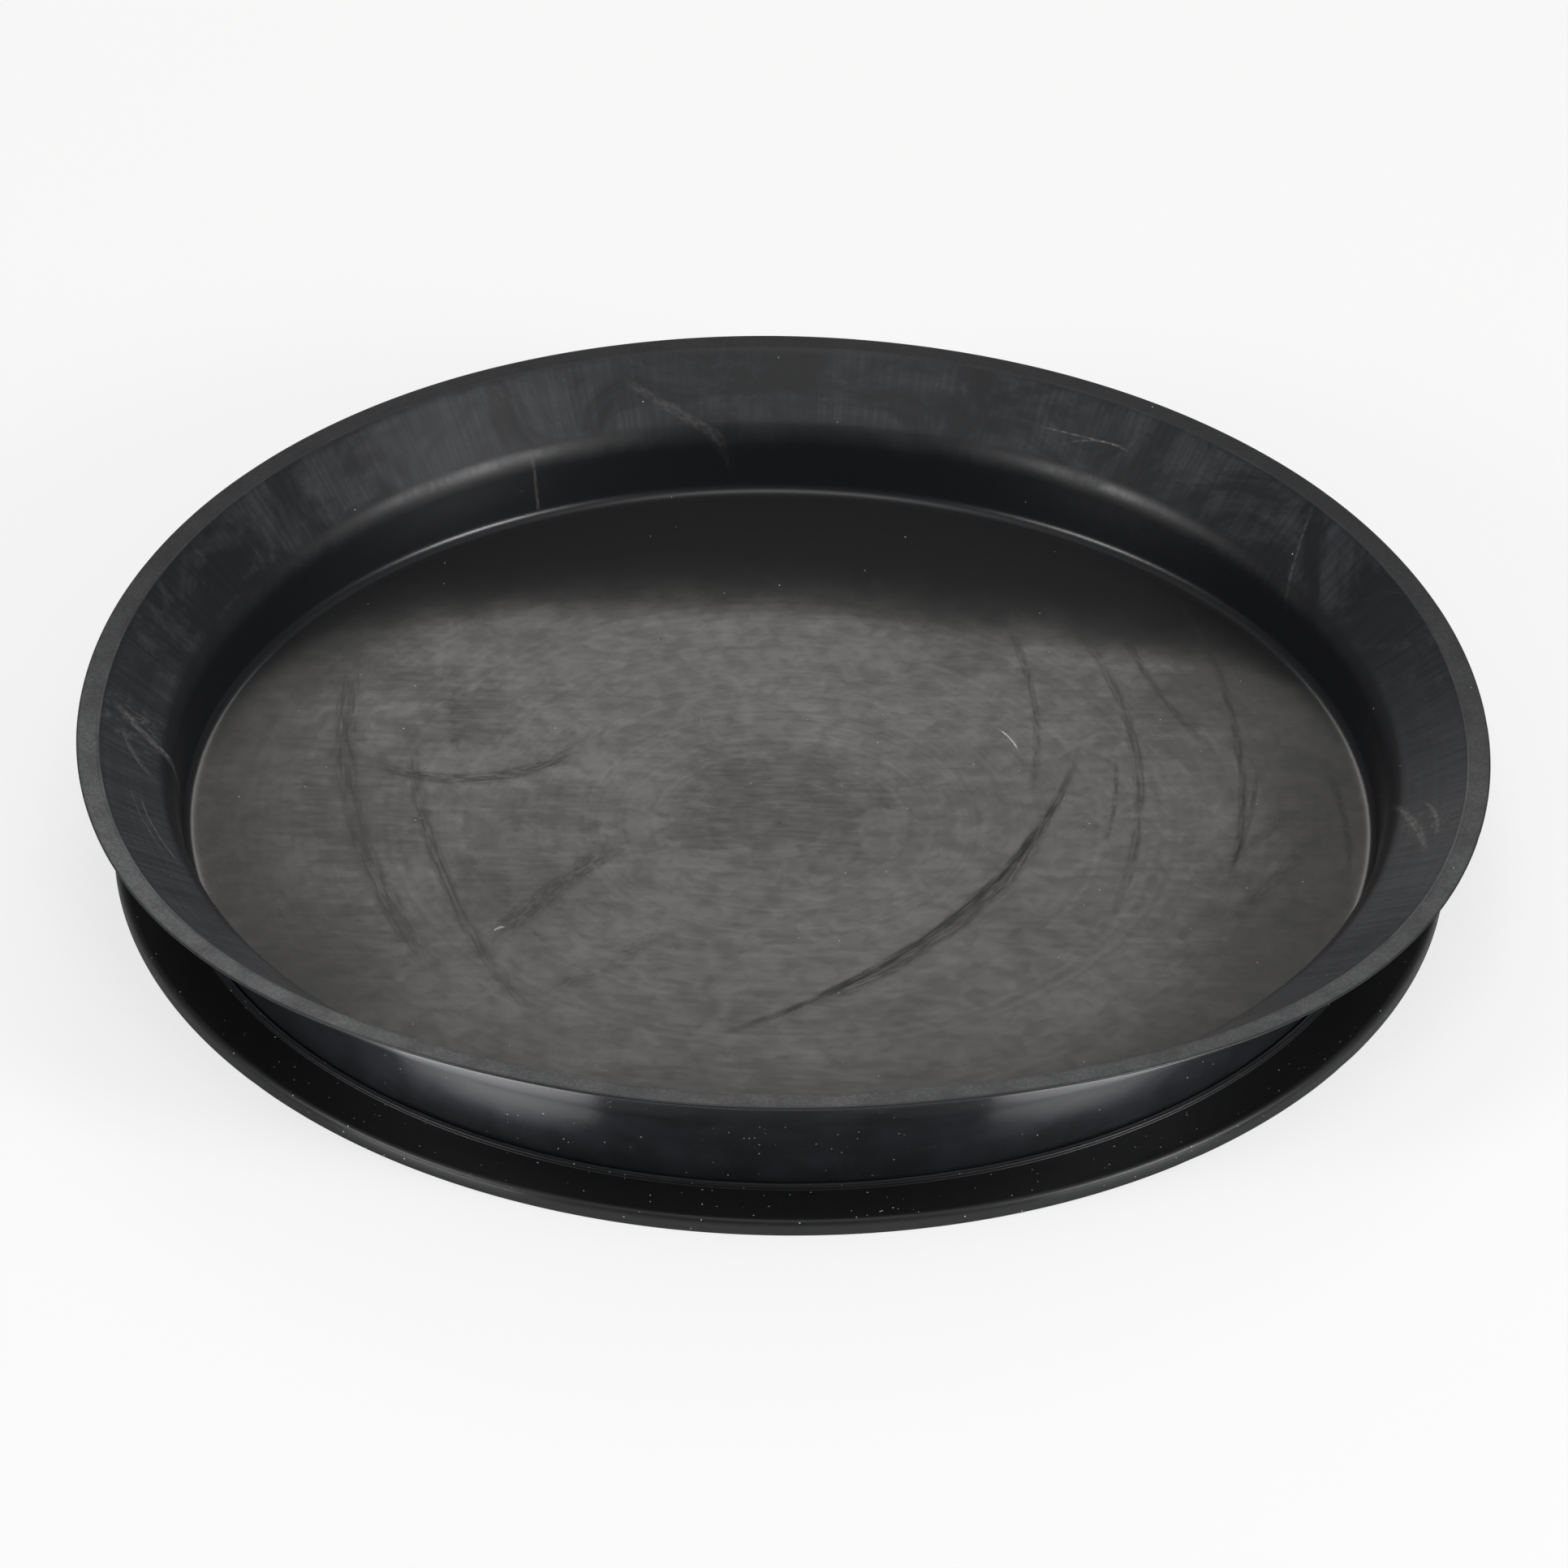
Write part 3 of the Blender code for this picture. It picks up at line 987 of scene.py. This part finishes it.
@dataclass
class BaseDisc:
    """The flanged base disc with the low ring that locates the pan's foot."""

    finish: Rubber = Rubber("base_rubber", (0.0060, 0.0062, 0.0068), 0.42, 2.4)
    flange_width: float = 18.8 * MM
    thickness: float = 6.3 * MM
    top_edge: float = 2.4 * MM
    bottom_edge: float = 0.8 * MM
    ring_width: float = 2.5 * MM
    ring_height: float = 1.4 * MM
    ring_edge: float = 0.6 * MM
    ring_foot_fillet: float = 0.5 * MM
    flash_height: float = 0.22 * MM

    def outline(self, ring_inner: float) -> Outline:
        """Return the outline.

        Args:
            ring_inner: The inner radius of the locating ring.

        Returns:
            The outline, from the middle of the top to the middle of the underside.
        """
        top = self.thickness
        ring_top = top + self.ring_height
        ring_outer = ring_inner + self.ring_width
        rim = ring_outer + self.flange_width
        return Outline([
            Corner("axis_top", 0.0, top, spacing=20 * MM),
            Corner("ring_foot", ring_inner, top, spacing=1 * MM),
            Corner("ring_inner", ring_inner, ring_top, self.ring_edge, 0.2 * MM),
            Corner("ring_outer", ring_outer, ring_top, self.ring_edge, 0.5 * MM),
            Corner("flange_inner", ring_outer, top, self.ring_foot_fillet, 2 * MM),
            Corner("rim_top", rim, top, self.top_edge, 1 * MM),
            Corner("rim_bottom", rim, 0.0, self.bottom_edge, 20 * MM),
            Corner("axis_bottom", 0.0, 0.0),
        ])

    def build(self, tree: TurnTree, ring_inner: float) -> bpy.types.Object:
        """Make the piece.

        Args:
            tree: The turning tree.
            ring_inner: The inner radius of the locating ring.

        Returns:
            The piece, which stands for the frame's base disc.
        """
        outline = self.outline(ring_inner)
        settings = TurnSettings(
            flash_at=outline.ends["ring_inner"] + 0.2 * MM, flash_height=self.flash_height,
            nick_from=ring_inner + self.ring_width + self.flange_width - 2 * MM,
            nick_depth=0.5 * MM, seed=0.7,
        )
        piece = tree.turn("base_moulding", outline, settings, BaseShader(self.finish, outline).finish())
        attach(piece, "base")
        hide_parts("base_disc")
        return piece


@dataclass
class DrainPan:
    """The pan: floor, leaning wall and flared lip in one moulding."""

    finish: Rubber = Rubber("pan_rubber", (0.0070, 0.0075, 0.0090), 0.30, 0.12)
    underside: float = 6.6 * MM
    floor_radius: float = 210.0 * MM
    floor_thickness: float = 6.0 * MM
    floor_fillet: float = 4.0 * MM
    wall_thickness: float = 4.0 * MM
    wall_lean: float = math.radians(12.5)
    wall_height: float = 21.7 * MM
    foot_edge: float = 0.8 * MM
    bend_radius: float = 14.0 * MM
    outer_rounding: float = 36.0 * MM
    lip_run: float = 22.9 * MM
    lip_rise: float = 20.1 * MM
    lip_face_width: float = 9.0 * MM
    lip_inner_edge: float = 0.6 * MM
    lip_outer_edge: float = 0.5 * MM
    side_sag: float = math.radians(10.5)
    front_lift: float = math.radians(4.7)
    right_sag: float = math.radians(2.9)
    front_dip: float = math.radians(5.5)
    dip_at: float = math.radians(266.0)
    dip_spread: float = math.radians(22.0)
    flash_height: float = 0.26 * MM
    unevenness: float = 0.35 * MM

    @property
    def floor_top(self) -> float:
        """The height of the floor's upper face."""
        return self.underside + self.floor_thickness

    @property
    def bend_height(self) -> float:
        """The height of the bend between the wall and the lip."""
        return self.floor_top + self.wall_height

    @property
    def lip_height(self) -> float:
        """The height of the lip's face before it takes its set."""
        return self.bend_height + self.lip_rise

    def wall_radius_at(self, height: float) -> float:
        """Return the outer wall's radius at a height."""
        at_floor = self.floor_radius + self.wall_thickness / math.cos(self.wall_lean)
        return at_floor + (height - self.floor_top) * math.tan(self.wall_lean)

    def outline(self) -> Outline:
        """Return the outline, from the middle of the floor round to the middle of the underside."""
        bend = Vector((self.floor_radius + self.wall_height * math.tan(self.wall_lean), self.bend_height))
        inner = bend + Vector((self.lip_run, self.lip_rise))
        outer = inner + Vector((self.lip_face_width, 0.0))
        slope = math.atan2(self.lip_rise, self.lip_run)
        wall_out = Vector((math.cos(self.wall_lean), -math.sin(self.wall_lean)))
        lip_out = Vector((math.sin(slope), -math.cos(slope)))
        mitre = (wall_out + lip_out) / (1.0 + wall_out.dot(lip_out))
        outer_bend = bend + mitre * self.wall_thickness
        flash_end = inner + Vector((2 * MM, 0.0))
        return Outline([
            Corner("axis_top", 0.0, self.floor_top, spacing=7 * MM),
            Corner("floor_edge", self.floor_radius, self.floor_top, self.floor_fillet, 2 * MM),
            Corner("bend", bend.x, bend.y, self.bend_radius, 2 * MM),
            Corner("lip_inner", inner.x, inner.y, self.lip_inner_edge, 0.2 * MM),
            Corner("flash_end", flash_end.x, flash_end.y, 0.0, 1 * MM),
            Corner("lip_outer", outer.x, outer.y, self.lip_outer_edge, 2.5 * MM),
            Corner("outer_bend", outer_bend.x, outer_bend.y, self.outer_rounding, 2 * MM),
            Corner("foot", self.wall_radius_at(self.underside), self.underside, self.foot_edge, 25 * MM),
            Corner("axis_bottom", 0.0, self.underside),
        ])

    def build(self, tree: TurnTree) -> bpy.types.Object:
        """Make the piece.

        Args:
            tree: The turning tree.

        Returns:
            The piece, which stands for the frame's pan.
        """
        outline = self.outline()
        run = self.lip_run + self.lip_face_width
        settings = TurnSettings(
            lip_length=math.hypot(run, self.lip_rise), lip_slope=math.atan2(self.lip_rise, run),
            bend_start=self.bend_height - self.bend_radius / 2, lip_top=self.lip_height,
            side_sag=self.side_sag, front_lift=self.front_lift, right_sag=self.right_sag,
            front_dip=self.front_dip, dip_at=self.dip_at, dip_spread=self.dip_spread,
            flash_at=outline.ends["lip_inner"] + 0.4 * MM, flash_height=self.flash_height,
            free_above=self.underside + 2 * MM, unevenness=self.unevenness,
            nick_from=self.floor_radius + self.wall_height * math.tan(self.wall_lean) + run - 1.6 * MM,
            nick_depth=0.35 * MM, seed=0.3,
        )
        piece = tree.turn("pan_moulding", outline, settings, PanShader(self.finish, outline).finish())
        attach(piece, "pan")
        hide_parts("pan")
        return piece


@dataclass(frozen=True)
class Softbox:
    """A lamp with a flat face that points at the object, or straight up where it lies on the floor."""

    name: str
    place: tuple[float, float, float]
    width: float
    height: float
    power: float
    target: tuple[float, float, float] = (0.0, 0.0, 0.03)
    spin: float = 0.0
    colour: Colour = (1.0, 1.0, 1.0)

    def light(self) -> bpy.types.Object:
        """Hang the lamp and turn it to its target.

        Returns:
            The lamp, which the camera doesn't see.
        """
        lamp = bpy.data.lights.new(self.name, "AREA")
        lamp.shape = "RECTANGLE"
        lamp.size = self.width
        lamp.size_y = self.height
        lamp.energy = self.power
        lamp.color = self.colour
        holder = bpy.data.objects.new(self.name, lamp)
        holder.location = self.place
        facing = Vector(self.target) - holder.location
        turned = facing.to_track_quat("-Z", "Y").to_matrix().to_4x4() @ Matrix.Rotation(self.spin, 4, "Z")
        holder.rotation_euler = turned.to_euler()
        holder.visible_camera = False
        bpy.context.scene.collection.objects.link(holder)
        return holder


def light_card(
    name: str, angle: float, inner: float, depth: float, height: float, power: float
) -> Softbox:
    """Return a small light card that lies level beside the pan's foot, which its wall and edges mirror.

    Args:
        name: The lamp's name.
        angle: Where it lies round the pan, in degrees from its front.
        inner: The radius of its inner side.
        depth: How far it reaches outwards.
        height: How high it lies.
        power: Its power.

    Returns:
        The card.
    """
    turn = math.radians(angle - 90.0)
    radius = inner + depth / 2
    place = (radius * math.cos(turn), radius * math.sin(turn), height)
    return Softbox(name, place, 0.080, depth, power, (place[0], place[1], 1.0), -turn - math.pi / 2)


@dataclass
class Studio:
    """A pale floor, a white surround, two softboxes and the camera."""

    floor_size: float = 12.0
    floor_colour: tuple[float, float, float, float] = (0.93, 0.93, 0.93, 1.0)
    surround: float = 0.35
    aim: Vector = field(default_factory=lambda: Vector((1.05, 0.0, 29.0)) * MM)
    distance: float = 10.0
    elevation: float = math.radians(34.4)
    roll: float = math.radians(1.0)
    lens: float = 652.2
    sensor: float = 36.0
    softboxes: tuple[Softbox, ...] = (
        Softbox("softbox_right", (1.75, -0.95, 0.90), 0.60, 0.60, 24.0),
        Softbox("softbox_left", (-1.75, -0.95, 0.90), 0.60, 0.60, 15.0),
        Softbox("softbox_top", (0.0, -0.6, 2.4), 1.40, 1.40, 10.5),
        Softbox(
            "softbox_back", (-0.04, 1.30, 0.84), 0.55, 0.38, 2.9, (0.0, 0.0, 0.01), 0.0,
            colour=(1.0, 0.975, 0.94),
        ),
        light_card("wall_card_left", -27.2, 0.2185, 0.044, 18.0 * MM, 0.015),
        light_card("wall_card_right", 31.0, 0.2185, 0.044, 18.0 * MM, 0.0125),
        light_card("edge_card_left", -32.0, 0.2415, 0.034, 1.0 * MM, 0.036),
        light_card("edge_card_right", 34.0, 0.2415, 0.034, 1.0 * MM, 0.024),
    )

    def build(self) -> None:
        """Set everything up."""
        scene = bpy.context.scene
        scene.view_settings.view_transform = "Standard"
        self._floor()
        self._surround()
        for softbox in self.softboxes:
            softbox.light()
        self._camera()

    def _floor(self) -> None:
        """Lay the floor, which shows the object's shadow and is white elsewhere."""
        half = self.floor_size / 2
        mesh = bpy.data.meshes.new("studio_floor")
        corners = [(-half, -half, 0.0), (half, -half, 0.0), (half, half, 0.0), (-half, half, 0.0)]
        mesh.from_pydata(corners, [], [(0, 1, 2, 3)])
        floor = bpy.data.objects.new("studio_floor", mesh)
        bpy.context.scene.collection.objects.link(floor)
        material = bpy.data.materials.new("studio_floor")
        material.use_nodes = True
        g = Graph(material.node_tree)
        matt = g.add("ShaderNodeBsdfDiffuse", {"Color": self.floor_colour})
        glow = g.add("ShaderNodeEmission", {"Color": (1.0, 1.0, 1.0, 1.0), "Strength": 1.0})
        seen = g.add("ShaderNodeLightPath").outputs["Is Camera Ray"]
        share = g.math("MULTIPLY", seen, 0.7)
        mixed = g.add("ShaderNodeMixShader", {0: share, 1: matt.outputs[0], 2: glow.outputs[0]})
        g.add("ShaderNodeOutputMaterial", {"Surface": mixed.outputs[0]})
        mesh.materials.append(material)

    def _surround(self) -> None:
        """Make the world white to the eye and in gloss, and a plain grey light otherwise."""
        world = bpy.data.worlds.new("surround")
        bpy.context.scene.world = world
        world.use_nodes = True
        g = Graph(world.node_tree)
        path = g.add("ShaderNodeLightPath").outputs
        direction = g.add("ShaderNodeTexCoord").outputs["Generated"]
        _, _, upward = g.split(direction)
        gloss = g.scaled(g.ramp(upward, 0.50, 0.95), 0.12, 0.44)
        strength = g.between(path["Is Glossy Ray"], self.surround, gloss)
        strength = g.between(path["Is Camera Ray"], strength, 1.0)
        light = g.add("ShaderNodeBackground", {"Color": (1.0, 1.0, 1.0, 1.0), "Strength": strength})
        g.add("ShaderNodeOutputWorld", {"Surface": light.outputs[0]})

    def _camera(self) -> None:
        """Stand the camera in front, looking down at the pan, with its slight roll."""
        lens = bpy.data.cameras.new("camera")
        lens.lens = self.lens
        lens.sensor_width = self.sensor
        lens.clip_end = 100.0
        camera = bpy.data.objects.new("camera", lens)
        away = Vector((0.0, -math.cos(self.elevation), math.sin(self.elevation)))
        camera.location = self.aim + away * self.distance
        facing = (-away).to_track_quat("-Z", "Y").to_matrix().to_4x4()
        camera.rotation_euler = (facing @ Matrix.Rotation(self.roll, 4, "Z")).to_euler()
        bpy.context.scene.collection.objects.link(camera)
        bpy.context.scene.camera = camera


def main() -> None:
    """Build the pieces and the studio, and note the sizes."""
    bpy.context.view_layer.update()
    tree = TurnTree()
    pan = DrainPan()
    base = BaseDisc()
    ring_clearance = 0.3 * MM
    ring_inner = pan.wall_radius_at(base.thickness + base.ring_height) + ring_clearance
    for piece in (base.build(tree, ring_inner), pan.build(tree)):
        log.info("%s: %d faces", piece.name, len(piece.data.polygons))
    Studio().build()


if __name__ == "__main__":
    main()
